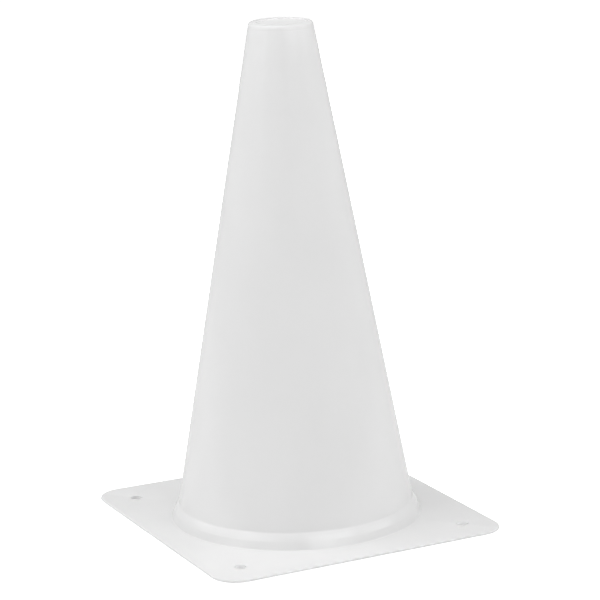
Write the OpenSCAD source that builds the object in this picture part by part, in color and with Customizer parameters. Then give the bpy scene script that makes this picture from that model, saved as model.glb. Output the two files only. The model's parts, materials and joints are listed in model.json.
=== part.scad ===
// Sports marker cone in two mouldings. The hollow cone is pushed up through the ring of the ground
// plate until its flange meets the ring's roof, where snap lugs hold it. It stands on z = 0, with its
// axis on z.

/* [Cone] */
// Height of the rim above the ground
cone_h = 230; // [150:1:320]
// Outer radius of the cone's side where it meets the ground
foot_r = 55.2; // [40:0.1:75]
// Outer radius of the cone's side carried up to the level of the rim
rim_r = 14.6; // [11:0.1:24]
// Thickness of the cone's wall
wall_t = 1.2; // [0.8:0.1:1.8]

/* [Closed end] */
// Thickness of the disc that closes the cone
end_t = 1.4; // [0.8:0.1:3]
// Depth of the disc below the rim
recess_d = 0.8; // [0.5:0.1:2]
// Radius of the rim's outer edge
rim_edge_r = 2.2; // [1:0.1:3]
// Width of the flat crest between the rim's rounded edges
rim_crest_w = 0.2; // [0.1:0.1:1]
// Radius of the rounded edge and of the fillet inside the rim
recess_round_r = 0.4; // [0.1:0.1:0.5]
// Radius of the fillet under the disc
end_fillet_r = 1.6; // [0.5:0.1:4]
// Height of the groove round the neck, below the rim
groove_drop = 3.4; // [3:0.1:10]
// Width of the groove round the neck
groove_w = 1.2; // [0.4:0.1:1.8]
// Depth of the groove round the neck
groove_d = 0.15; // [0.05:0.05:0.4]

/* [Foot ring] */
// Height of the ring's roof above the ground
ring_h = 8.4; // [7:0.1:14]
// Thickness of the ring's side and roof
ring_t = 1.2; // [0.8:0.1:1.6]
// Radius of the ring's rounded shoulder
shoulder_r = 2.7; // [2:0.1:5]
// Radius of the fillet that turns the roof up against the cone
lip_r = 0.5; // [0.2:0.1:1.5]
// Thickness of the lip at its top edge
lip_t = 0.2; // [0.1:0.1:1]
// Radius of the fillet between the ring and the plate
root_r = 0.8; // [0.3:0.1:3]
// Gap between the lip and the cone
fit_gap = 0.15; // [0.05:0.05:0.4]

/* [Ground plate] */
// Width of the plate outside the ring, at the middle of a side
border_w = 14.2; // [8:0.1:40]
// Thickness of the plate
plate_t = 1.2; // [0.8:0.1:3]
// Radius of the plate's corners
corner_r = 12; // [8:0.1:22]
// Distance of the peg holes from the plate's sides
peg_inset = 15.5; // [10:0.1:24]
// Diameter of the peg holes
peg_hole_d = 5; // [3:0.1:9]

/* [Snap joint] */
// Height of the flange's straight edge, below the round that fits the shoulder
flange_edge_h = 0.3; // [0.1:0.1:1]
// Gap between the flange and the ring's side
flange_gap = 0.2; // [0.1:0.05:0.4]
// Number of snap lugs
lug_n = 6; // [3:1:12]
// Width of a lug round the ring
lug_w = 7; // [3:0.5:15]
// Height of a lug
lug_h = 1.9; // [1:0.1:2.4]
// Reach of a lug under the flange
lug_reach = 0.4; // [0.2:0.1:0.8]
// Play between the flange and the lugs
lug_gap = 0.1; // [0.05:0.05:0.3]

/* [Hidden] */
$fn = 128;
arc_steps = 8;
// How far a cut runs past the face that it opens
overrun = 1;

// Side of the cone
side_slope = (foot_r - rim_r) / cone_h;
side_tilt = atan(side_slope);
wall_run = wall_t / cos(side_tilt);

// Closed end
rim_round_z = cone_h - rim_edge_r;
disc_z = cone_h - recess_d;
disc_under_z = disc_z - end_t;
end_fillet_z = disc_under_z - end_fillet_r;
groove_z = cone_h - groove_drop;

// Ring and plate
roof_z = ring_h - ring_t;
lip_z = ring_h + lip_r;
shoulder_z = ring_h - shoulder_r;
ring_r = side(ring_h) + fit_gap + lip_t + lip_r + shoulder_r;
bore_r = ring_r - ring_t;
inner_shoulder_r = shoulder_r - ring_t;
plate_half = ring_r + border_w;
peg_place = plate_half - peg_inset;

// Snap joint
flange_r = bore_r - flange_gap;
flange_z = shoulder_z - flange_edge_h;
lug_r = flange_r - lug_reach;
lug_top_z = flange_z - lug_gap;
lug_foot_z = lug_top_z - lug_h;

// Outer radius of the cone at height z
function side(z) = foot_r - side_slope * z;

// Inner radius of the cone at height z
function inside(z) = side(z) - wall_run;

// Radius at which a round of radius r, centred at height z, touches the face with radius face
function tangent(face, r) = face - r / cos(side_tilt);

// Points along an arc about centre, from angle a to angle b
function arc(centre, r, a, b) =
    [for (i = [0:arc_steps]) centre + r * [cos(a + (b - a) * i / arc_steps), sin(a + (b - a) * i / arc_steps)]];

// Half section of the cone, from the ground up its outside and down its inside
function cone_section() = concat(
    [[inside(0), 0], [side(0), 0]],
    flange_section(),
    groove_section(),
    arc([tangent(side(rim_round_z), rim_edge_r), rim_round_z], rim_edge_r, side_tilt, 90),
    recess_section(),
    [[0, disc_z], [0, disc_under_z]],
    arc([tangent(inside(end_fillet_z), end_fillet_r), end_fillet_z], end_fillet_r, 90, side_tilt)
);

// Flange that seats under the ring's roof, with its edge rounded like the inside of the shoulder
function flange_section() = concat(
    [[side(flange_z), flange_z], [flange_r, flange_z]],
    arc([flange_r - inner_shoulder_r, shoulder_z], inner_shoulder_r, 0, 90),
    [[side(roof_z), roof_z]]
);

// Shallow groove round the neck
function groove_section() = [
    [side(groove_z - groove_w / 2), groove_z - groove_w / 2],
    [side(groove_z) - groove_d, groove_z],
    [side(groove_z + groove_w / 2), groove_z + groove_w / 2]
];

// Inner edge of the rim and the fillet at its foot
function recess_section() =
    let (crest_r = tangent(side(rim_round_z), rim_edge_r) - rim_crest_w)
    concat(
        arc([crest_r, cone_h - recess_round_r], recess_round_r, 90, 180),
        arc([crest_r - 2 * recess_round_r, disc_z + recess_round_r], recess_round_r, 0, -90)
    );

// Half section of the hollow ring, from the ground up its outside and down its inside
function ring_section() = concat(
    [[bore_r, 0], [ring_r + root_r, 0]],
    arc([ring_r + root_r, plate_t + root_r], root_r, 270, 180),
    arc([ring_r - shoulder_r, shoulder_z], shoulder_r, 0, 90),
    arc([side(ring_h) + fit_gap + lip_t + lip_r, lip_z], lip_r, 270, 180),
    [[side(lip_z) + fit_gap, lip_z], [side(roof_z) + fit_gap, roof_z]],
    arc([ring_r - shoulder_r, shoulder_z], inner_shoulder_r, 90, 0)
);

// Half section of the snap lugs, sloped below so that the flange slides past
function lug_section() = [
    [bore_r, lug_foot_z],
    [lug_r, lug_top_z - lug_h / 3],
    [lug_r, lug_top_z],
    [bore_r + ring_t / 2, lug_top_z],
    [bore_r + ring_t / 2, lug_foot_z]
];

// Square with round corners, centred on the axis
module rounded_square(half, r) {
    square([2 * half, 2 * (half - r)], center = true);
    square([2 * (half - r), 2 * half], center = true);
    corners(half - r) circle(r = r);
}

// Puts its child at the four corners of a square
module corners(place) {
    for (x = [-place, place], y = [-place, place]) translate([x, y]) children();
}

module snap_lug() {
    intersection() {
        rotate_extrude() polygon(lug_section());
        translate([0, -lug_w / 2, 0]) cube([ring_r, lug_w, ring_h]);
    }
}

// Hollow cone with its closed, recessed end and its flange
module cone_body() {
    color("whitesmoke") rotate_extrude() polygon(cone_section());
}

// Thin square plate with the raised ring, the snap lugs and the peg holes
module base_plate() {
    color("gainsboro") {
        difference() {
            linear_extrude(plate_t) rounded_square(plate_half, corner_r);
            translate([0, 0, -overrun]) cylinder(r = bore_r, h = plate_t + 2 * overrun);
            corners(peg_place) translate([0, 0, -overrun]) cylinder(d = peg_hole_d, h = plate_t + 2 * overrun);
        }
        rotate_extrude() polygon(ring_section());
        for (i = [0:lug_n - 1]) rotate([0, 0, i * 360 / lug_n]) snap_lug();
    }
}

cone_body();
base_plate();
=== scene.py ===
import json
import math

import bpy
from mathutils import Matrix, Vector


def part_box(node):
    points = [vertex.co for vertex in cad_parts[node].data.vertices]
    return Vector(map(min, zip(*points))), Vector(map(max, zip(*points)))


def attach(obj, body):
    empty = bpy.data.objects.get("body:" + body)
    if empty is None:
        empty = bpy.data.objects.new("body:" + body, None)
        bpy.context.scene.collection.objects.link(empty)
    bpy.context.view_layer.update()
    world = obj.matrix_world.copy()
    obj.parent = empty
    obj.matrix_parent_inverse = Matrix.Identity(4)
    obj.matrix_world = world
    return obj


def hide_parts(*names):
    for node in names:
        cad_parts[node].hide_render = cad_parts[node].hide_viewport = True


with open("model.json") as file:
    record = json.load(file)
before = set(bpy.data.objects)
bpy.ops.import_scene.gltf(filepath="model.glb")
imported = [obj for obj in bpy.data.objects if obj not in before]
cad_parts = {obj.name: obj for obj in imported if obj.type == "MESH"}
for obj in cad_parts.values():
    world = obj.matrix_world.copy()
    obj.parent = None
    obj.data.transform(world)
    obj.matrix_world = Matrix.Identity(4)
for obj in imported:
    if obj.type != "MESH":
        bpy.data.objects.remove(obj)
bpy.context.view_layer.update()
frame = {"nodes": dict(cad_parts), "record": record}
print("frame loaded, nodes:", sorted(frame["nodes"]))

mm = 0.001
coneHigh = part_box("cone_body")[1]
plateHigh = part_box("base_plate")[1]
pegMount = next(m for m in frame["record"]["mounts"] if m["name"] == "ground_peg_holes")


# Camera: where the photographer stood, in metres, and which way the lens pointed, in degrees
cameraView = {
    "place": (-0.5540, -1.1112, 0.4074),
    "yaw": -26.72,
    "pitch": -13.80,
    "roll": -1.79,
    "focalPixels": 2819.0,
    "framePixels": 600,
    "sensorWidth": 36.0,
}


def makeCamera(view):
    data = bpy.data.cameras.new("studioCamera")
    data.sensor_width = view["sensorWidth"]
    data.lens = view["focalPixels"] * view["sensorWidth"] / view["framePixels"]
    data.clip_start, data.clip_end = 0.05, 20.0
    camera = bpy.data.objects.new("studioCamera", data)
    bpy.context.scene.collection.objects.link(camera)
    aim = Matrix.Rotation(math.radians(view["yaw"]), 4, "Z")
    aim = aim @ Matrix.Rotation(math.radians(90 + view["pitch"]), 4, "X")
    aim = aim @ Matrix.Rotation(math.radians(view["roll"]), 4, "Z")
    camera.matrix_world = Matrix.Translation(view["place"]) @ aim
    bpy.context.scene.camera = camera
    return camera


camera = makeCamera(cameraView)
print("camera set, lens", round(camera.data.lens, 1), "mm")


# Small helpers for node trees
def addNode(tree, kind, **settings):
    node = tree.nodes.new(kind)
    for name, value in settings.items():
        setattr(node, name, value)
    return node


def wire(tree, source, target, *more):
    tree.links.new(source, target)
    for extra in more:
        tree.links.new(source, extra)


def math2(tree, operation, first, second=None, third=None):
    node = addNode(tree, "ShaderNodeMath", operation=operation)
    for socket, value in zip(node.inputs, (first, second, third)):
        if value is None:
            continue
        if isinstance(value, (int, float)):
            socket.default_value = value
        else:
            tree.links.new(value, socket)
    return node.outputs[0]


def mapRange(tree, value, fromMin, fromMax, toMin, toMax, smooth=False):
    node = addNode(tree, "ShaderNodeMapRange", clamp=True)
    if smooth:
        node.interpolation_type = "SMOOTHSTEP"
    tree.links.new(value, node.inputs["Value"])
    ends = (("From Min", fromMin), ("From Max", fromMax), ("To Min", toMin), ("To Max", toMax))
    for name, number in ends:
        if isinstance(number, (int, float)):
            node.inputs[name].default_value = number
        else:
            tree.links.new(number, node.inputs[name])
    return node.outputs["Result"]


def newTree(name, sockets):
    tree = bpy.data.node_groups.new(name, "GeometryNodeTree")
    tree.interface.new_socket("Geometry", in_out="INPUT", socket_type="NodeSocketGeometry")
    tree.interface.new_socket("Geometry", in_out="OUTPUT", socket_type="NodeSocketGeometry")
    for label, kind, value in sockets:
        socket = tree.interface.new_socket(label, in_out="INPUT", socket_type=kind)
        if value is not None:
            socket.default_value = value
    return tree


def setInputs(modifier, values):
    for item in modifier.node_group.interface.items_tree:
        if item.item_type == "SOCKET" and item.in_out == "INPUT" and item.name in values:
            modifier[item.identifier] = values[item.name]


# Runs a geometry tree on an object and keeps the result as a plain mesh
def applyTree(obj, tree, values):
    modifier = obj.modifiers.new(tree.name, "NODES")
    modifier.node_group = tree
    setInputs(modifier, values)
    bpy.context.view_layer.update()
    evaluated = obj.evaluated_get(bpy.context.evaluated_depsgraph_get())
    result = bpy.data.meshes.new_from_object(evaluated)
    obj.modifiers.remove(modifier)
    old = obj.data
    obj.data = result
    bpy.data.meshes.remove(old)
    obj.data.name = obj.name
    return obj


def meshObject(name, points, edges=(), faces=()):
    mesh = bpy.data.meshes.new(name)
    mesh.from_pydata(points, edges, faces)
    mesh.update()
    obj = bpy.data.objects.new(name, mesh)
    bpy.context.scene.collection.objects.link(obj)
    return obj


# Faces between one ring of points and another, each of the same number of points
def bandFaces(here, there, steps):
    return [(here + i, here + (i + 1) % steps, there + (i + 1) % steps, there + i) for i in range(steps)]


def arcPoints(centre, radius, start, end, steps):
    angles = [math.radians(start + (end - start) * i / steps) for i in range(steps + 1)]
    return [(centre[0] + radius * math.cos(a), centre[1] + radius * math.sin(a)) for a in angles]


# Points from one place to the next at no more than a given spacing, without the last
def runPoints(start, end, spacing):
    length = math.hypot(end[0] - start[0], end[1] - start[1])
    steps = max(1, round(length / spacing))
    return [(start[0] + (end[0] - start[0]) * i / steps, start[1] + (end[1] - start[1]) * i / steps)
            for i in range(steps)]


# Points along a gentle curve between two places whose slopes are given as angles of the normal
def slopedRun(start, end, startSlope, endSlope, steps, fullness=1.0):
    points = []
    rise = 1.0 if end[1] > start[1] else -1.0
    reach = rise * fullness * math.hypot(end[0] - start[0], end[1] - start[1])
    first = (-math.sin(math.radians(startSlope)) * reach, math.cos(math.radians(startSlope)) * reach)
    last = (-math.sin(math.radians(endSlope)) * reach, math.cos(math.radians(endSlope)) * reach)
    for i in range(steps + 1):
        t = i / steps
        h = (2 * t ** 3 - 3 * t ** 2 + 1, t ** 3 - 2 * t ** 2 + t, 3 * t ** 2 - 2 * t ** 3, t ** 3 - t ** 2)
        points.append(tuple(h[0] * start[k] + h[1] * first[k] + h[2] * end[k] + h[3] * last[k]
                            for k in (0, 1)))
    return points


# Materials

# Skin of moulded polyethylene: a soft orange-peel grain and long flow waves from the mould
def mouldedSkinGroup():
    group = bpy.data.node_groups.new("mouldedSkin", "ShaderNodeTree")
    face = group.interface
    for label, value in (("Grain Scale", 900.0), ("Wave Scale", 60.0),
                         ("Grain Share", 0.5), ("Stretch", 0.5)):
        face.new_socket(label, in_out="INPUT", socket_type="NodeSocketFloat").default_value = value
    face.new_socket("Vector", in_out="INPUT", socket_type="NodeSocketVector")
    face.new_socket("Height", in_out="OUTPUT", socket_type="NodeSocketFloat")
    face.new_socket("Mottle", in_out="OUTPUT", socket_type="NodeSocketFloat")
    inside, outside = addNode(group, "NodeGroupInput"), addNode(group, "NodeGroupOutput")
    squeeze = addNode(group, "ShaderNodeVectorMath", operation="MULTIPLY")
    factors = addNode(group, "ShaderNodeCombineXYZ")
    factors.inputs["X"].default_value = factors.inputs["Y"].default_value = 1.0
    wire(group, inside.outputs["Stretch"], factors.inputs["Z"])
    wire(group, inside.outputs["Vector"], squeeze.inputs[0])
    wire(group, factors.outputs[0], squeeze.inputs[1])
    grain = addNode(group, "ShaderNodeTexNoise")
    grain.inputs["Detail"].default_value, grain.inputs["Roughness"].default_value = 3.0, 0.55
    wire(group, inside.outputs["Vector"], grain.inputs["Vector"])
    wire(group, inside.outputs["Grain Scale"], grain.inputs["Scale"])
    waves = addNode(group, "ShaderNodeTexNoise")
    waves.inputs["Detail"].default_value = 1.5
    wire(group, squeeze.outputs[0], waves.inputs["Vector"])
    wire(group, inside.outputs["Wave Scale"], waves.inputs["Scale"])
    blend = addNode(group, "ShaderNodeMix", data_type="FLOAT")
    wire(group, inside.outputs["Grain Share"], blend.inputs["Factor"])
    wire(group, waves.outputs["Fac"], blend.inputs["A"])
    wire(group, grain.outputs["Fac"], blend.inputs["B"])
    wire(group, blend.outputs["Result"], outside.inputs["Height"])
    wire(group, waves.outputs["Fac"], outside.inputs["Mottle"])
    return group


# Traces of handling, as masks from 0 to 1: soft smudges and faint scuffs that run one way in patches
def handlingGroup():
    group = bpy.data.node_groups.new("handlingTraces", "ShaderNodeTree")
    face = group.interface
    for label, value in (("Smudge Scale", 45.0), ("Scuff Scale", 420.0)):
        face.new_socket(label, in_out="INPUT", socket_type="NodeSocketFloat").default_value = value
    face.new_socket("Vector", in_out="INPUT", socket_type="NodeSocketVector")
    face.new_socket("Smudge", in_out="OUTPUT", socket_type="NodeSocketFloat")
    face.new_socket("Scuff", in_out="OUTPUT", socket_type="NodeSocketFloat")
    inside, outside = addNode(group, "NodeGroupInput"), addNode(group, "NodeGroupOutput")
    smudge = addNode(group, "ShaderNodeTexNoise")
    smudge.inputs["Detail"].default_value, smudge.inputs["Distortion"].default_value = 4.0, 0.6
    wire(group, inside.outputs["Vector"], smudge.inputs["Vector"])
    wire(group, inside.outputs["Smudge Scale"], smudge.inputs["Scale"])
    smears = mapRange(group, smudge.outputs["Fac"], 0.45, 0.75, 0.0, 1.0, smooth=True)
    wire(group, smears, outside.inputs["Smudge"])
    turn = addNode(group, "ShaderNodeMapping")
    turn.inputs["Rotation"].default_value = (0.4, 0.7, 1.1)
    turn.inputs["Scale"].default_value = (1.0, 0.08, 1.0)
    wire(group, inside.outputs["Vector"], turn.inputs["Vector"])
    streak = addNode(group, "ShaderNodeTexNoise")
    streak.inputs["Detail"].default_value = 2.0
    wire(group, turn.outputs[0], streak.inputs["Vector"])
    wire(group, inside.outputs["Scuff Scale"], streak.inputs["Scale"])
    thin = mapRange(group, streak.outputs["Fac"], 0.55, 0.8, 0.0, 1.0, smooth=True)
    patch = addNode(group, "ShaderNodeTexNoise")
    patch.inputs["Scale"].default_value = 60.0
    wire(group, inside.outputs["Vector"], patch.inputs["Vector"])
    here = mapRange(group, patch.outputs["Fac"], 0.55, 0.75, 0.0, 1.0, smooth=True)
    wire(group, math2(group, "MULTIPLY", thin, here), outside.inputs["Scuff"])
    return group


skinGroup, tracesGroup = mouldedSkinGroup(), handlingGroup()

# Scales are in waves to the metre, and the rest are shares or lengths in metres
conePlastic = {
    "name": "conePolyethylene",
    "tone": (0.89, 0.89, 0.89),
    "darkTone": (0.875, 0.875, 0.875),
    "roughness": 0.12,
    "grainScale": 1500.0,
    "waveScale": 40.0,
    "grainShare": 0.35,
    "stretch": 0.5,
    "bump": 0.05,
    "bumpDistance": 0.0002,
    "smudgeRoughness": 0.04,
    "scuffRoughness": 0.08,
    "seed": (0.0, 0.0, 0.0),
}
platePlastic = {
    "name": "platePolyethylene",
    "tone": (0.90, 0.90, 0.90),
    "darkTone": (0.885, 0.885, 0.885),
    "roughness": 0.12,
    "grainScale": 1100.0,
    "waveScale": 55.0,
    "grainShare": 0.5,
    "stretch": 1.0,
    "bump": 0.08,
    "bumpDistance": 0.0002,
    "smudgeRoughness": 0.06,
    "scuffRoughness": 0.1,
    "seed": (0.31, 0.17, 0.05),
}


def plasticMaterial(look):
    material = bpy.data.materials.new(look["name"])
    material.use_nodes = True
    tree = material.node_tree
    tree.nodes.clear()
    output = addNode(tree, "ShaderNodeOutputMaterial")
    shader = addNode(tree, "ShaderNodeBsdfPrincipled")
    shader.inputs["IOR"].default_value = 1.52
    wire(tree, shader.outputs[0], output.inputs["Surface"])
    where = addNode(tree, "ShaderNodeTexCoord")
    shift = addNode(tree, "ShaderNodeMapping")
    shift.inputs["Location"].default_value = look["seed"]
    wire(tree, where.outputs["Object"], shift.inputs["Vector"])
    skin = addNode(tree, "ShaderNodeGroup")
    skin.node_tree = skinGroup
    for label, key in (("Grain Scale", "grainScale"), ("Wave Scale", "waveScale"),
                       ("Grain Share", "grainShare"), ("Stretch", "stretch")):
        skin.inputs[label].default_value = look[key]
    traces = addNode(tree, "ShaderNodeGroup")
    traces.node_tree = tracesGroup
    wire(tree, shift.outputs[0], skin.inputs["Vector"], traces.inputs["Vector"])
    tone = addNode(tree, "ShaderNodeMix", data_type="RGBA")
    tone.inputs["A"].default_value = (*look["darkTone"], 1.0)
    tone.inputs["B"].default_value = (*look["tone"], 1.0)
    mottle = mapRange(tree, skin.outputs["Mottle"], 0.3, 0.7, 0.0, 1.0, smooth=True)
    wire(tree, mottle, tone.inputs["Factor"])
    wire(tree, tone.outputs["Result"], shader.inputs["Base Color"])
    smudge, scuff = traces.outputs["Smudge"], traces.outputs["Scuff"]
    smear = math2(tree, "MULTIPLY_ADD", smudge, look["smudgeRoughness"], look["roughness"])
    worn = math2(tree, "MULTIPLY_ADD", scuff, look["scuffRoughness"], smear)
    wire(tree, worn, shader.inputs["Roughness"])
    bump = addNode(tree, "ShaderNodeBump")
    bump.inputs["Strength"].default_value = look["bump"]
    bump.inputs["Distance"].default_value = look["bumpDistance"]
    wire(tree, skin.outputs["Height"], bump.inputs["Height"])
    wire(tree, bump.outputs[0], shader.inputs["Normal"])
    return material


coneMaterial, plateMaterial = plasticMaterial(conePlastic), plasticMaterial(platePlastic)
print("materials made")


# Hollow cone

# Sizes of the cone in metres
cone = {
    "height": coneHigh.z,
    "footRadius": 55.5 * mm,
    "rimRadius": 14.3 * mm,
    "wall": 1.2 * mm,
    "endThickness": 1.4 * mm,
    "recess": 0.8 * mm,
    "rimDrop": 1.4 * mm,
    "rimRun": 2.0 * mm,
    "rimCrest": 0.2 * mm,
    "recessRound": 0.4 * mm,
    "endFillet": 1.6 * mm,
    "grooveDrop": 2.6 * mm,
    "grooveWidth": 0.8 * mm,
    "grooveDepth": 0.03 * mm,
    "footRound": 0.25 * mm,
    "flangeTop": 7.1 * mm,
    "flangeLow": 5.4 * mm,
    "flangeRadius": 54.95 * mm,
    "rowSpacing": 1.6 * mm,  # on the outside
    "discSpacing": 1.2 * mm,  # on the disc
    "underSpacing": 2 * mm,  # under the disc
    "insideSpacing": 4 * mm,  # down the inside
    "rimFullness": 1.15,
    "roundSteps": 288,
    "grooveSteps": 8,
    "arcSteps": 10,
}

coneSlope = (cone["footRadius"] - cone["rimRadius"]) / cone["height"]
coneTilt = math.atan(coneSlope)
wallRun = cone["wall"] / math.cos(coneTilt)


def sideRadius(z):
    return cone["footRadius"] - coneSlope * z


def insideRadius(z):
    return sideRadius(z) - wallRun


# Closed half section of the cone as (radius, height), up the outside and down the inside
def coneSection():
    steps, tilt = cone["arcSteps"], math.degrees(coneTilt)
    slant = math.cos(coneTilt)
    top = cone["height"]
    crest, small, foot = cone["rimCrest"], cone["recessRound"], cone["footRound"]
    discZ = top - cone["recess"]
    underZ = discZ - cone["endThickness"]
    flangeLow = cone["flangeLow"]
    grooveZ, halfGroove = top - cone["grooveDrop"], cone["grooveWidth"] / 2
    points = arcPoints((insideRadius(foot) + foot / slant, foot), foot, 180 + tilt, 270, 4)
    points += arcPoints((sideRadius(foot) - foot / slant, foot), foot, -90, tilt, 4)
    points += runPoints(points[-1], (sideRadius(flangeLow), flangeLow), cone["rowSpacing"])[1:]
    points += [(sideRadius(flangeLow), flangeLow), (cone["flangeRadius"], flangeLow)]
    wallStart = (sideRadius(cone["flangeTop"]), cone["flangeTop"])
    grooveStart = (sideRadius(grooveZ - halfGroove), grooveZ - halfGroove)
    points += runPoints(wallStart, grooveStart, cone["rowSpacing"])
    for i in range(cone["grooveSteps"] + 1):
        share = i / cone["grooveSteps"]
        z = grooveZ + (share - 0.5) * cone["grooveWidth"]
        points.append((sideRadius(z) - cone["grooveDepth"] * math.sin(math.pi * share) ** 2, z))
    rimStart = (sideRadius(top - cone["rimDrop"]), top - cone["rimDrop"])
    rimEnd = (sideRadius(top) - cone["rimRun"], top)
    crestR = rimEnd[0] - crest
    points += slopedRun(rimStart, rimEnd, tilt, 90, steps, cone["rimFullness"])
    points += arcPoints((crestR, top - small), small, 90, 180, 6)
    points += arcPoints((crestR - 2 * small, discZ + small), small, 0, -90, 6)
    points += runPoints(points[-1], (0, discZ), cone["discSpacing"])[1:] + [(0, discZ), (0, underZ)]
    filletZ = underZ - cone["endFillet"]
    filletR = insideRadius(filletZ) - cone["endFillet"] / slant
    points += runPoints((0, underZ), (filletR, underZ), cone["underSpacing"])[1:]
    points += arcPoints((filletR, filletZ), cone["endFillet"], 90, tilt, steps)
    points += runPoints(points[-1], points[0], cone["insideSpacing"])[1:] + [points[0]]
    return points


# Where the unevenness of the wall comes in and dies away, in metres
unevenFades = {
    "drumRadius": 0.022,  # the pattern is wrapped round a drum of this radius
    "neckIn": 0.015,  # stretch over which the neck's ripple comes in
    "rimOut": 0.006,  # stretch below the rim over which everything dies away
    "footFrom": 0.009,  # the cone's foot is true below this
    "footTo": 0.04,
    "axisFrom": 0.002,  # and so is the middle of the disc
    "axisTo": 0.006,
}


# Tree that turns a half section round the axis and adds the slight unevenness of a blown wall
def revolveTree():
    fades = unevenFades
    tree = newTree("turnedShell", (
        ("Round Steps", "NodeSocketInt", 96),
        ("Ripple Height", "NodeSocketFloat", 0.0),
        ("Ripple Size", "NodeSocketFloat", 0.02),
        ("Ripple From", "NodeSocketFloat", 0.17),
        ("Ripple To", "NodeSocketFloat", 0.226),
        ("Sway Height", "NodeSocketFloat", 0.0),
        ("Sway Size", "NodeSocketFloat", 0.07),
        ("Seed", "NodeSocketFloat", 0.0),
        ("Material", "NodeSocketMaterial", None),
    ))
    inside, outside = addNode(tree, "NodeGroupInput"), addNode(tree, "NodeGroupOutput")
    count = addNode(tree, "GeometryNodeAttributeDomainSize", component="MESH")
    wire(tree, inside.outputs["Geometry"], count.inputs[0])
    sheet = addNode(tree, "GeometryNodeMeshGrid")
    sheet.inputs["Size X"].default_value = sheet.inputs["Size Y"].default_value = 1.0
    wire(tree, math2(tree, "ADD", inside.outputs["Round Steps"], 1), sheet.inputs["Vertices X"])
    wire(tree, count.outputs["Point Count"], sheet.inputs["Vertices Y"])
    place = addNode(tree, "ShaderNodeSeparateXYZ")
    wire(tree, addNode(tree, "GeometryNodeInputPosition").outputs[0], place.inputs[0])
    angle = math2(tree, "MULTIPLY", math2(tree, "ADD", place.outputs["X"], 0.5), math.tau)
    last = math2(tree, "SUBTRACT", count.outputs["Point Count"], 1)
    row = math2(tree, "ROUND", math2(tree, "MULTIPLY", math2(tree, "ADD", place.outputs["Y"], 0.5), last))
    sample = addNode(tree, "GeometryNodeSampleIndex", data_type="FLOAT_VECTOR", domain="POINT")
    wire(tree, inside.outputs["Geometry"], sample.inputs["Geometry"])
    wire(tree, addNode(tree, "GeometryNodeInputPosition").outputs[0], sample.inputs["Value"])
    wire(tree, row, sample.inputs["Index"])
    section = addNode(tree, "ShaderNodeSeparateXYZ")
    wire(tree, sample.outputs["Value"], section.inputs[0])
    cosine, sine = math2(tree, "COSINE", angle), math2(tree, "SINE", angle)
    radius, height = section.outputs["X"], section.outputs["Z"]

    # unevenness is the same on both faces of the wall, so the wall keeps its thickness
    drum = addNode(tree, "ShaderNodeCombineXYZ")
    wire(tree, math2(tree, "MULTIPLY", cosine, fades["drumRadius"]), drum.inputs["X"])
    wire(tree, math2(tree, "MULTIPLY", sine, fades["drumRadius"]), drum.inputs["Y"])
    wire(tree, height, drum.inputs["Z"])
    waves = []
    for label in ("Ripple", "Sway"):
        noise = addNode(tree, "ShaderNodeTexNoise", noise_dimensions="4D")
        noise.inputs["Detail"].default_value = 1.0
        wire(tree, drum.outputs[0], noise.inputs["Vector"])
        wire(tree, math2(tree, "DIVIDE", 1.0, inside.outputs[label + " Size"]), noise.inputs["Scale"])
        wire(tree, inside.outputs["Seed"], noise.inputs["W"])
        waves.append(math2(tree, "SUBTRACT", noise.outputs["Fac"], 0.5))
    start, stop = inside.outputs["Ripple From"], inside.outputs["Ripple To"]
    full = math2(tree, "ADD", start, fades["neckIn"])
    fadeIn = mapRange(tree, height, start, full, 0.0, 1.0, smooth=True)
    fading = math2(tree, "SUBTRACT", stop, fades["rimOut"])
    fadeOut = mapRange(tree, height, fading, stop, 1.0, 0.0, smooth=True)
    neck = math2(tree, "MULTIPLY", fadeIn, fadeOut)
    rippled = math2(tree, "MULTIPLY", waves[0], inside.outputs["Ripple Height"])
    ripple = math2(tree, "MULTIPLY", rippled, neck)
    swayIn = mapRange(tree, height, fades["footFrom"], fades["footTo"], 0.0, 1.0, smooth=True)
    swung = math2(tree, "MULTIPLY", waves[1], inside.outputs["Sway Height"])
    sway = math2(tree, "MULTIPLY", swung, swayIn)
    swayed = math2(tree, "MULTIPLY", sway, fadeOut)
    offAxis = mapRange(tree, radius, fades["axisFrom"], fades["axisTo"], 0.0, 1.0, smooth=True)
    uneven = math2(tree, "MULTIPLY", math2(tree, "ADD", ripple, swayed), offAxis)
    grown = math2(tree, "ADD", radius, uneven)

    spot = addNode(tree, "ShaderNodeCombineXYZ")
    wire(tree, math2(tree, "MULTIPLY", grown, cosine), spot.inputs["X"])
    wire(tree, math2(tree, "MULTIPLY", grown, sine), spot.inputs["Y"])
    wire(tree, height, spot.inputs["Z"])
    move = addNode(tree, "GeometryNodeSetPosition")
    wire(tree, sheet.outputs["Mesh"], move.inputs["Geometry"])
    wire(tree, spot.outputs[0], move.inputs["Position"])

    # the stretch of the section that lies on the axis leaves no face
    now = addNode(tree, "ShaderNodeSeparateXYZ")
    wire(tree, addNode(tree, "GeometryNodeInputPosition").outputs[0], now.inputs[0])
    across = math2(tree, "SQRT", math2(tree, "ADD", math2(tree, "POWER", now.outputs["X"], 2.0),
                                       math2(tree, "POWER", now.outputs["Y"], 2.0)))
    onAxis = addNode(tree, "GeometryNodeFieldOnDomain", data_type="FLOAT", domain="FACE")
    wire(tree, across, onAxis.inputs[0])
    drop = addNode(tree, "GeometryNodeDeleteGeometry", domain="FACE")
    wire(tree, move.outputs[0], drop.inputs["Geometry"])
    wire(tree, math2(tree, "LESS_THAN", onAxis.outputs[0], 1e-6), drop.inputs["Selection"])
    weld = addNode(tree, "GeometryNodeMergeByDistance")
    weld.inputs["Distance"].default_value = 2e-6
    wire(tree, drop.outputs[0], weld.inputs["Geometry"])
    finishTree(tree, weld.outputs[0], inside, outside)
    return tree


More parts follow.
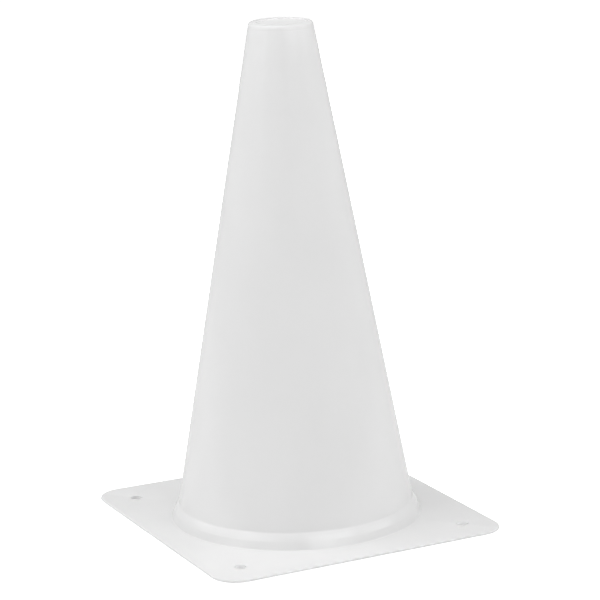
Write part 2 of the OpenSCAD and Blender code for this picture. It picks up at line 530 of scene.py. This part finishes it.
crispAngle = 40  # degrees


# Smooth faces with crisp edges where the surface turns sharply, then the material
def finishTree(tree, geometry, inside, outside):
    smooth = addNode(tree, "GeometryNodeSetShadeSmooth", domain="FACE")
    wire(tree, geometry, smooth.inputs["Geometry"])
    bend = addNode(tree, "GeometryNodeInputMeshEdgeAngle")
    crisp = addNode(tree, "GeometryNodeSetShadeSmooth", domain="EDGE")
    crisp.inputs["Shade Smooth"].default_value = False
    wire(tree, smooth.outputs[0], crisp.inputs["Geometry"])
    sharp = math2(tree, "GREATER_THAN", bend.outputs["Unsigned Angle"], math.radians(crispAngle))
    wire(tree, sharp, crisp.inputs["Selection"])
    real = addNode(tree, "GeometryNodeRealizeInstances")
    wire(tree, crisp.outputs[0], real.inputs[0])
    dress = addNode(tree, "GeometryNodeSetMaterial")
    wire(tree, real.outputs[0], dress.inputs["Geometry"])
    wire(tree, inside.outputs["Material"], dress.inputs["Material"])
    wire(tree, dress.outputs[0], outside.inputs["Geometry"])


coneUneven = {
    "Round Steps": cone["roundSteps"],
    "Ripple Height": 0.5 * mm,
    "Ripple Size": 14 * mm,
    "Ripple From": 0.168,
    "Ripple To": 0.2255,
    "Sway Height": 0.1 * mm,
    "Sway Size": 55 * mm,
    "Seed": 3.0,
    "Material": coneMaterial,
}


def makeCone():
    section = coneSection()
    points = [(r, 0.0, z) for r, z in section]
    edges = [(i, i + 1) for i in range(len(points) - 1)]
    obj = meshObject("cone", points, edges)
    applyTree(obj, revolveTree(), coneUneven)
    return obj


conePiece = makeCone()
print("cone:", len(conePiece.data.polygons), "faces")


# Ground plate

plate = {
    "halfWidth": plateHigh.x,
    "thickness": 1.2 * mm,
    "cornerRadius": 12.0 * mm,
    "edgeRound": 0.35 * mm,
    "ringRadius": 56.17 * mm,
    "ringWall": 1.0 * mm,
    "lipTop": 9.8 * mm,
    "lipEdge": 0.02 * mm,
    "shoulderTop": (54.25 * mm, 8.95 * mm),
    "shoulderTopSlope": 40.0,
    "shoulderEndSlope": 28.0,
    "shoulderEdge": 2.0 * mm,
    "shoulderEdgeZ": 5.2 * mm,
    "sideDraft": 22.0,
    "rootFillet": 0.8 * mm,
    "fitGap": 0.02 * mm,
    "roofUnderZ": 7.35 * mm,  # where the underside of the ring's roof meets the cone
    "boreRound": 0.2 * mm,
    "crown": 1.2 * mm,  # rise of the sheet at the ring's root
    "curl": 1.2,  # how late a corner's lift sets in, from 1 for a plain slope
    "topRows": 34,
    "underRows": 14,
    "roundSteps": 480,
    "cornerLift": {(-1, 1): 2.9 * mm, (-1, -1): 0.3 * mm, (1, -1): 0.0, (1, 1): 1.6 * mm},
}

ringRadius = plate["ringRadius"]
boreRadius = ringRadius - plate["ringWall"]
draftSlope = math.tan(math.radians(plate["sideDraft"]))
boreFootRadius = boreRadius + (plate["shoulderEdgeZ"] - plate["crown"]) * draftSlope
rootZ = plate["thickness"] + plate["crown"] + plate["rootFillet"]


# Radius where the fillet at the ring's root runs out on to the plate
def rootReachRadius():
    draft, round_ = math.radians(plate["sideDraft"]), plate["shoulderEdge"]
    across = (ringRadius - round_) * math.cos(draft) + (plate["shoulderEdgeZ"] - rootZ) * math.sin(draft)
    return (across + round_ + plate["rootFillet"]) / math.cos(draft)


rootRadius = rootReachRadius()


# Distance from the axis to a rounded square's outline, along a direction
def squareReach(angle, half, round_):
    dx, dy = abs(math.cos(angle)), abs(math.sin(angle))
    flat = half - round_
    if dy * half <= flat * dx:
        return half / dx
    if dx * half <= flat * dy:
        return half / dy
    both = flat * (dx + dy)
    return both + math.sqrt(both * both - 2 * flat * flat + round_ * round_)


# How far the thin sheet bends up: it crowns towards the ring, and its corners have lifted
def sheetLift(x, y):
    reach = max(abs(x), abs(y), 1e-9) / plate["halfWidth"]
    edgeX, edgeY = x / reach / plate["halfWidth"], y / reach / plate["halfWidth"]
    along = sum(lift * (1 + sx * edgeX) * (1 + sy * edgeY) / 4
                for (sx, sy), lift in plate["cornerLift"].items())
    rootShare = rootRadius * reach / math.hypot(x, y)
    share = min(1.0, max(0.0, (reach - rootShare) / (1 - rootShare)))
    return along * share ** plate["curl"] + plate["crown"] * (1 - share)


# Half section of the ring, from the bore's lower edge up inside, over the lip and down to the root
def ringSection():
    wall, edge, round_, crown = plate["ringWall"], plate["boreRound"], plate["shoulderEdge"], plate["crown"]
    top, slopeTop, slopeEnd = plate["shoulderTop"], plate["shoulderTopSlope"], plate["shoulderEndSlope"]
    lipTop, edgeZ = plate["lipTop"], plate["shoulderEdgeZ"]
    turn = math.radians(slopeEnd)
    centre = (ringRadius - round_, edgeZ)
    shoulderEnd = (centre[0] + round_ * math.cos(turn), centre[1] + round_ * math.sin(turn))
    innerEnd = (shoulderEnd[0] - wall * math.cos(turn), shoulderEnd[1] - wall * math.sin(turn))
    innerTop = (sideRadius(plate["roofUnderZ"]) + plate["fitGap"], plate["roofUnderZ"])
    draft = plate["sideDraft"]
    inner = arcPoints(centre, round_ - wall, draft, slopeEnd, 4)
    points = arcPoints((boreFootRadius + edge, crown + edge), edge, 270, 180, 4)
    points += runPoints(points[-1], inner[0], 0.8 * mm)[1:] + inner
    points += runPoints(innerEnd, innerTop, 0.5 * mm)[1:]
    points += runPoints(innerTop, (sideRadius(lipTop) + plate["fitGap"], lipTop), 0.4 * mm)
    points.append((sideRadius(lipTop) + plate["fitGap"], lipTop))

    # the lip's outside leaves the wall in a small hollow curve and turns over on to the shoulder
    tilt = math.degrees(coneTilt)
    lipStart = (sideRadius(lipTop) + plate["fitGap"] + plate["lipEdge"], lipTop)
    points += slopedRun(lipStart, top, tilt, slopeTop, 8)
    points += slopedRun(top, shoulderEnd, slopeTop, slopeEnd, 12)[1:]
    points += arcPoints(centre, round_, slopeEnd, draft, 8)[1:]
    root = arcPoints((rootRadius, rootZ), plate["rootFillet"], 180 + draft, 270, 8)
    points += runPoints(points[-1], root[0], 0.5 * mm)[1:] + root
    return points


# Rows of the plate as (radius at each angle, height), out over the top and back underneath
def plateRows(angles):
    half, corner = plate["halfWidth"], plate["cornerRadius"]
    edge, thick = plate["edgeRound"], plate["thickness"]
    rows = [([r] * len(angles), z) for r, z in ringSection()]
    inner = [squareReach(a, half - edge, corner - edge) for a in angles]
    for i in range(1, plate["topRows"] + 1):
        share = i / plate["topRows"]
        rows.append(([rootRadius + (reach - rootRadius) * share for reach in inner], thick))
    for a0, a1, z0 in ((90, 0, thick - edge), (0, -90, edge)):
        for inset, dz in arcPoints((0, 0), edge, a0, a1, 4)[(1 if a0 else 0):]:
            reaches = [squareReach(a, half - edge + inset, corner - edge + inset) for a in angles]
            rows.append((reaches, z0 + dz))
    boreEdge = boreFootRadius + plate["boreRound"]
    for i in range(1, plate["underRows"]):
        share = i / plate["underRows"]
        rows.append(([reach + (boreEdge - reach) * share for reach in inner], 0.0))
    return rows


def makePlate():
    steps = plate["roundSteps"]
    angles = [math.tau * i / steps for i in range(steps)]
    rows = plateRows(angles)
    points = []
    for radii, z in rows:
        for angle, radius in zip(angles, radii):
            x, y = radius * math.cos(angle), radius * math.sin(angle)
            onSheet = radius > rootRadius + 1e-7 or z < 1e-6
            points.append((x, y, z + (sheetLift(x, y) if onSheet else 0.0)))
    faces = []
    for row in range(len(rows)):
        faces += bandFaces(row * steps, (row + 1) % len(rows) * steps, steps)
    return meshObject("groundPlate", points, (), faces)


lugSink = 0.0004  # how far a lug's root runs into the wall, in metres
drillDepth = 0.01


# Tree that adds the snap lugs and the beaded rims, and then drills the peg holes
def plateDetailTree():
    tree = newTree("plateDetail", (
        ("Hole Spacing", "NodeSocketFloat", 0.112),
        ("Hole Radius", "NodeSocketFloat", 0.0025),
        ("Rim Radius", "NodeSocketFloat", 0.0003),
        ("Rim Sink", "NodeSocketFloat", 0.0001),
        ("Lug Count", "NodeSocketInt", 6),
        ("Lug Width", "NodeSocketFloat", 0.007),
        ("Lug Foot", "NodeSocketFloat", 0.003),
        ("Lug Top", "NodeSocketFloat", 0.005),
        ("Lug Reach", "NodeSocketFloat", 0.0006),
        ("Bore Radius", "NodeSocketFloat", 0.056),
        ("Bore Slope", "NodeSocketFloat", 0.4),
        ("Material", "NodeSocketMaterial", None),
    ))
    inside, outside = addNode(tree, "NodeGroupInput"), addNode(tree, "NodeGroupOutput")

    # one lug: a bar bent round the bore, its lower third sloped back to the wall
    bar = addNode(tree, "GeometryNodeMeshCube")
    bar.inputs["Size"].default_value = (1.0, 1.0, 1.0)
    bar.inputs["Vertices X"].default_value, bar.inputs["Vertices Y"].default_value = 2, 9
    bar.inputs["Vertices Z"].default_value = 4
    cell = addNode(tree, "ShaderNodeSeparateXYZ")
    wire(tree, addNode(tree, "GeometryNodeInputPosition").outputs[0], cell.inputs[0])
    bore, lugTop = inside.outputs["Bore Radius"], inside.outputs["Lug Top"]
    along = math2(tree, "MULTIPLY", cell.outputs["Y"], inside.outputs["Lug Width"])
    turn = math2(tree, "DIVIDE", along, bore)
    rise = mapRange(tree, cell.outputs["Z"], -0.5, 0.5, inside.outputs["Lug Foot"], lugTop)
    slope = mapRange(tree, cell.outputs["Z"], -0.5, 0.16, -0.1, 1.0)
    tip = math2(tree, "SUBTRACT", bore, math2(tree, "MULTIPLY", slope, inside.outputs["Lug Reach"]))
    below = math2(tree, "SUBTRACT", lugTop, rise)
    rooted = math2(tree, "ADD", bore, lugSink)
    rootSide = math2(tree, "MULTIPLY_ADD", below, inside.outputs["Bore Slope"], rooted)
    out = mapRange(tree, cell.outputs["X"], -0.5, 0.5, tip, rootSide)
    bent = addNode(tree, "ShaderNodeCombineXYZ")
    wire(tree, math2(tree, "MULTIPLY", out, math2(tree, "COSINE", turn)), bent.inputs["X"])
    wire(tree, math2(tree, "MULTIPLY", out, math2(tree, "SINE", turn)), bent.inputs["Y"])
    wire(tree, rise, bent.inputs["Z"])
    lug = addNode(tree, "GeometryNodeSetPosition")
    wire(tree, bar.outputs["Mesh"], lug.inputs["Geometry"])
    wire(tree, bent.outputs[0], lug.inputs["Position"])
    spots = addNode(tree, "GeometryNodeMeshLine")
    spots.inputs["Offset"].default_value = (0.0, 0.0, 0.0)
    wire(tree, inside.outputs["Lug Count"], spots.inputs["Count"])
    index = addNode(tree, "GeometryNodeInputIndex").outputs[0]
    share = math2(tree, "DIVIDE", index, inside.outputs["Lug Count"])
    spin = addNode(tree, "ShaderNodeCombineXYZ")
    wire(tree, math2(tree, "MULTIPLY", share, math.tau), spin.inputs["Z"])
    lugs = addNode(tree, "GeometryNodeInstanceOnPoints")
    wire(tree, spots.outputs[0], lugs.inputs["Points"])
    wire(tree, lug.outputs[0], lugs.inputs["Instance"])
    wire(tree, spin.outputs[0], lugs.inputs["Rotation"])

    # hole places: the corners of a square, dropped on to the bent sheet
    square = addNode(tree, "GeometryNodeMeshGrid")
    square.inputs["Vertices X"].default_value = square.inputs["Vertices Y"].default_value = 2
    wire(tree, inside.outputs["Hole Spacing"], square.inputs["Size X"], square.inputs["Size Y"])
    above = addNode(tree, "GeometryNodeSetPosition")
    above.inputs["Offset"].default_value = (0.0, 0.0, 0.02)
    wire(tree, square.outputs["Mesh"], above.inputs["Geometry"])
    ray = addNode(tree, "GeometryNodeRaycast")
    ray.inputs["Ray Direction"].default_value = (0.0, 0.0, -1.0)
    ray.inputs["Ray Length"].default_value = 0.05
    wire(tree, inside.outputs["Geometry"], ray.inputs["Target Geometry"])
    landed = addNode(tree, "GeometryNodeSetPosition")
    wire(tree, above.outputs[0], landed.inputs["Geometry"])
    wire(tree, ray.outputs["Hit Position"], landed.inputs["Position"])

    bead = addNode(tree, "GeometryNodeCurvePrimitiveCircle")
    bead.inputs["Resolution"].default_value = 48
    beadRadius = math2(tree, "ADD", inside.outputs["Hole Radius"], inside.outputs["Rim Radius"])
    wire(tree, beadRadius, bead.inputs["Radius"])
    beadSection = addNode(tree, "GeometryNodeCurvePrimitiveCircle")
    beadSection.inputs["Resolution"].default_value = 12
    wire(tree, inside.outputs["Rim Radius"], beadSection.inputs["Radius"])
    rim = addNode(tree, "GeometryNodeCurveToMesh")
    wire(tree, bead.outputs[0], rim.inputs["Curve"])
    wire(tree, beadSection.outputs[0], rim.inputs["Profile Curve"])
    sink = addNode(tree, "ShaderNodeCombineXYZ")
    wire(tree, math2(tree, "MULTIPLY", inside.outputs["Rim Sink"], -1.0), sink.inputs["Z"])
    sunk = addNode(tree, "GeometryNodeTransform")
    wire(tree, rim.outputs[0], sunk.inputs["Geometry"])
    wire(tree, sink.outputs[0], sunk.inputs["Translation"])
    rims = addNode(tree, "GeometryNodeInstanceOnPoints")
    wire(tree, landed.outputs[0], rims.inputs["Points"])
    wire(tree, sunk.outputs[0], rims.inputs["Instance"])

    drill = addNode(tree, "GeometryNodeMeshCylinder")
    drill.inputs["Vertices"].default_value = 48
    drill.inputs["Depth"].default_value = drillDepth
    wire(tree, inside.outputs["Hole Radius"], drill.inputs["Radius"])
    drills = addNode(tree, "GeometryNodeInstanceOnPoints")
    wire(tree, landed.outputs[0], drills.inputs["Points"])
    wire(tree, drill.outputs["Mesh"], drills.inputs["Instance"])

    gather = addNode(tree, "GeometryNodeJoinGeometry")
    for part in (lugs, rims):
        wire(tree, part.outputs[0], gather.inputs[0])
    solid = addNode(tree, "GeometryNodeRealizeInstances")
    wire(tree, gather.outputs[0], solid.inputs[0])
    join = addNode(tree, "GeometryNodeMeshBoolean", operation="UNION", solver="EXACT")
    wire(tree, inside.outputs["Geometry"], join.inputs["Mesh 2"])
    wire(tree, solid.outputs[0], join.inputs["Mesh 2"])
    cut = addNode(tree, "GeometryNodeMeshBoolean", operation="DIFFERENCE", solver="EXACT")
    wire(tree, join.outputs["Mesh"], cut.inputs["Mesh 1"])
    wire(tree, drills.outputs[0], cut.inputs["Mesh 2"])
    finishTree(tree, cut.outputs["Mesh"], inside, outside)
    return tree


plateDetail = {
    "Hole Spacing": pegMount["dims"]["spacing_x_mm"] * mm,
    "Hole Radius": pegMount["dims"]["hole_r_mm"] * mm,
    "Rim Radius": 0.25 * mm,
    "Rim Sink": 0.15 * mm,
    "Lug Count": 6,
    "Lug Width": 7.0 * mm,
    "Lug Foot": 3.4 * mm,
    "Lug Top": 5.3 * mm,
    "Lug Reach": 0.5 * mm,
    "Bore Radius": boreRadius,
    "Bore Slope": draftSlope,
    "Material": plateMaterial,
}

platePiece = makePlate()
applyTree(platePiece, plateDetailTree(), plateDetail)
print("plate:", len(platePiece.data.polygons), "faces")

for piece, node in ((conePiece, "cone_body"), (platePiece, "base_plate")):
    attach(piece, "root")
    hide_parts(node)


# Studio: a white floor in a round tent of white cloth, lit from outside by a few large lamps

studio = {
    "floorSize": 8.0,
    "floorTone": 0.9,
    "backdropTone": 1.02,  # what the camera sees of the floor and the room
    "underPlate": 0.0655,  # half width of the floor that the plate covers
    "underGlow": 0.2,  # what the thin sheet lets through to the floor under it
    "tentRadius": 1.2,
    "tentCentre": 0.1,
    "tentRows": 24,
    "tentSteps": 72,
    "tentGlow": 0.62,
    "leastGlow": 0.02,
}

# Where lamps light the tent, or something shades it. In degrees: azimuth from the camera's side, elevation,
# half width, half height, fade at the sides, fade above and below. Then the strength, below 0 for shade.
# Most rows are rounded values from a fit made outside this script, and the rest were changed by hand
tentPanels = {
    "leftBox": (-84, 41, 32, 25, 3, 8, 0.9),
    "rightBox": (34, 28, 20, 10, 6, 2, 2.1),
    "farBox": (84, 20, 9, 4, 12, 7, 1.45),
    "overhead": (-70, 78, 90, 9, 85, 20, 0.7),
    "leftStrip": (-41, 35, 16, 8, 5, 3, 1.05),
    "rightStrip": (36, 49, 22, 3, 16, 5, 1.2),
    "spot": (101, 36, 4, 3, 10, 5, 1.45),
    "backGlow": (171, 17, 38, 2, 15, 5, 0.15),
    "backShade": (-169, 56, 22, 9, 14, 11, -1.5),
    "frontShade": (-1, 4, 62, 10, 67, 2, -0.45),
    "frontGap": (14, 36, 5, 21, 16, 2, -0.75),
}


# Level direction from the object, by azimuth from the camera's side in degrees
def levelDirection(azimuth):
    turn = math.atan2(cameraView["place"][1], cameraView["place"][0]) + math.radians(azimuth)
    return (math.cos(turn), math.sin(turn), 0.0)


def floorMaterial(name, seenGlow, glow):
    material = bpy.data.materials.new(name)
    material.use_nodes = True
    tree = material.node_tree
    shader = tree.nodes["Principled BSDF"]
    shader.inputs["Base Color"].default_value = (studio["floorTone"],) * 3 + (1.0,)
    shader.inputs["Roughness"].default_value = 0.9
    shader.inputs["Specular IOR Level"].default_value = 0.0
    shader.inputs["Emission Color"].default_value = (1.0, 1.0, 1.0, 1.0)
    seen = addNode(tree, "ShaderNodeLightPath")
    extra = math2(tree, "MULTIPLY_ADD", seen.outputs["Is Camera Ray"], seenGlow - glow, glow)
    wire(tree, extra, shader.inputs["Emission Strength"])
    return material


# The floor is overexposed for the camera, as in the photograph, but lights nothing by itself
# The patch under the plate is the exception: it glows for every ray, painted light standing in for what the
# thin sheet lets through
def makeFloor():
    outer, inner = studio["floorSize"] / 2, studio["underPlate"]
    corners = [(-1, -1), (1, -1), (1, 1), (-1, 1)]
    points = [(x * reach, y * reach, 0) for reach in (outer, inner) for x, y in corners]
    faces = [(i, (i + 1) % 4, 4 + (i + 1) % 4, 4 + i) for i in range(4)] + [(4, 5, 6, 7)]
    floor = meshObject("floor", points, (), faces)
    floor.data.materials.append(floorMaterial("whiteFloor", studio["backdropTone"], 0.0))
    # painted light: the covered patch glows faintly for every ray and lights the hole walls and the plate's
    # underside
    floor.data.materials.append(floorMaterial("coveredFloor", studio["underGlow"], studio["underGlow"]))
    floor.data.polygons[4].material_index = 1
    return floor


# One soft panel: how much of it a direction sees, from 0 to 1
def panelGroup():
    group = bpy.data.node_groups.new("softPanel", "ShaderNodeTree")
    face = group.interface
    for label in ("Level Direction", "Towards"):
        face.new_socket(label, in_out="INPUT", socket_type="NodeSocketVector")
    for label in ("Height", "Near Cosine", "Far Cosine", "Elevation", "Half Height", "Fade"):
        face.new_socket(label, in_out="INPUT", socket_type="NodeSocketFloat")
    face.new_socket("Share", in_out="OUTPUT", socket_type="NodeSocketFloat")
    inside, outside = addNode(group, "NodeGroupInput"), addNode(group, "NodeGroupOutput")
    facing = addNode(group, "ShaderNodeVectorMath", operation="DOT_PRODUCT")
    wire(group, inside.outputs["Level Direction"], facing.inputs[0])
    wire(group, inside.outputs["Towards"], facing.inputs[1])
    ends = (inside.outputs["Far Cosine"], inside.outputs["Near Cosine"])
    across = mapRange(group, facing.outputs["Value"], *ends, 0.0, 1.0, smooth=True)
    higher = math2(group, "SUBTRACT", inside.outputs["Height"], inside.outputs["Elevation"])
    off = math2(group, "ABSOLUTE", higher)
    reach = math2(group, "ADD", inside.outputs["Half Height"], inside.outputs["Fade"])
    upright = mapRange(group, off, reach, inside.outputs["Half Height"], 0.0, 1.0, smooth=True)
    wire(group, math2(group, "MULTIPLY", across, upright), outside.inputs["Share"])
    return group


# The cloth glows where the lamps reach it, and the camera looks in through it at plain white
def makeTent():
    rows, steps = studio["tentRows"], studio["tentSteps"]
    points, faces = [], []
    for row in range(rows):
        rise = math.radians(-5 + 94.5 * row / (rows - 1))  # from just under the floor to the crown
        for step in range(steps):
            turn = math.tau * step / steps
            out, up = math.cos(rise) * studio["tentRadius"], math.sin(rise) * studio["tentRadius"]
            points.append((out * math.cos(turn), out * math.sin(turn), studio["tentCentre"] + up))
    for row in range(rows - 1):
        faces += bandFaces(row * steps, (row + 1) * steps, steps)
    faces.append([(rows - 1) * steps + i for i in range(steps)])
    tent = meshObject("tent", points, (), faces)
    tent.visible_camera = False
    tent.data.materials.append(tentMaterial())
    return tent


def tentMaterial():
    material = bpy.data.materials.new("litCloth")
    material.use_nodes = True
    tree = material.node_tree
    tree.nodes.clear()
    output, emission = addNode(tree, "ShaderNodeOutputMaterial"), addNode(tree, "ShaderNodeEmission")
    wire(tree, emission.outputs[0], output.inputs["Surface"])
    where = addNode(tree, "ShaderNodeTexCoord")
    centred = addNode(tree, "ShaderNodeVectorMath", operation="SUBTRACT")
    centred.inputs[1].default_value = (0.0, 0.0, studio["tentCentre"])
    wire(tree, where.outputs["Object"], centred.inputs[0])
    around = addNode(tree, "ShaderNodeVectorMath", operation="NORMALIZE")
    wire(tree, centred.outputs[0], around.inputs[0])
    apart = addNode(tree, "ShaderNodeSeparateXYZ")
    wire(tree, around.outputs[0], apart.inputs[0])
    height = math2(tree, "ARCSINE", apart.outputs["Z"])
    flat = addNode(tree, "ShaderNodeVectorMath", operation="MULTIPLY")
    flat.inputs[1].default_value = (1.0, 1.0, 0.0)
    wire(tree, around.outputs[0], flat.inputs[0])
    level = addNode(tree, "ShaderNodeVectorMath", operation="NORMALIZE")
    wire(tree, flat.outputs[0], level.inputs[0])
    group, total = panelGroup(), studio["tentGlow"]
    for azimuth, elevation, halfWidth, halfHeight, sideFade, heightFade, strength in tentPanels.values():
        panel = addNode(tree, "ShaderNodeGroup")
        panel.node_tree = group
        wire(tree, level.outputs[0], panel.inputs["Level Direction"])
        wire(tree, height, panel.inputs["Height"])
        panel.inputs["Towards"].default_value = levelDirection(azimuth)
        panel.inputs["Near Cosine"].default_value = math.cos(math.radians(halfWidth))
        panel.inputs["Far Cosine"].default_value = math.cos(math.radians(halfWidth + sideFade))
        for label, angle in (("Elevation", elevation), ("Half Height", halfHeight), ("Fade", heightFade)):
            panel.inputs[label].default_value = math.radians(angle)
        total = math2(tree, "MULTIPLY_ADD", panel.outputs["Share"], strength, total)
    wire(tree, math2(tree, "MAXIMUM", total, studio["leastGlow"]), emission.inputs["Strength"])
    return material


def makeBackdrop():
    world = bpy.data.worlds.new("whiteRoom")
    world.use_nodes = True
    tree = world.node_tree
    seen = addNode(tree, "ShaderNodeLightPath")
    background = tree.nodes["Background"]
    background.inputs["Color"].default_value = (1.0, 1.0, 1.0, 1.0)
    glow = math2(tree, "MULTIPLY", seen.outputs["Is Camera Ray"], studio["backdropTone"])
    wire(tree, glow, background.inputs["Strength"])
    bpy.context.scene.world = world


makeFloor()
makeTent()
makeBackdrop()
bpy.context.scene.view_settings.view_transform = "Standard"
print("studio set")
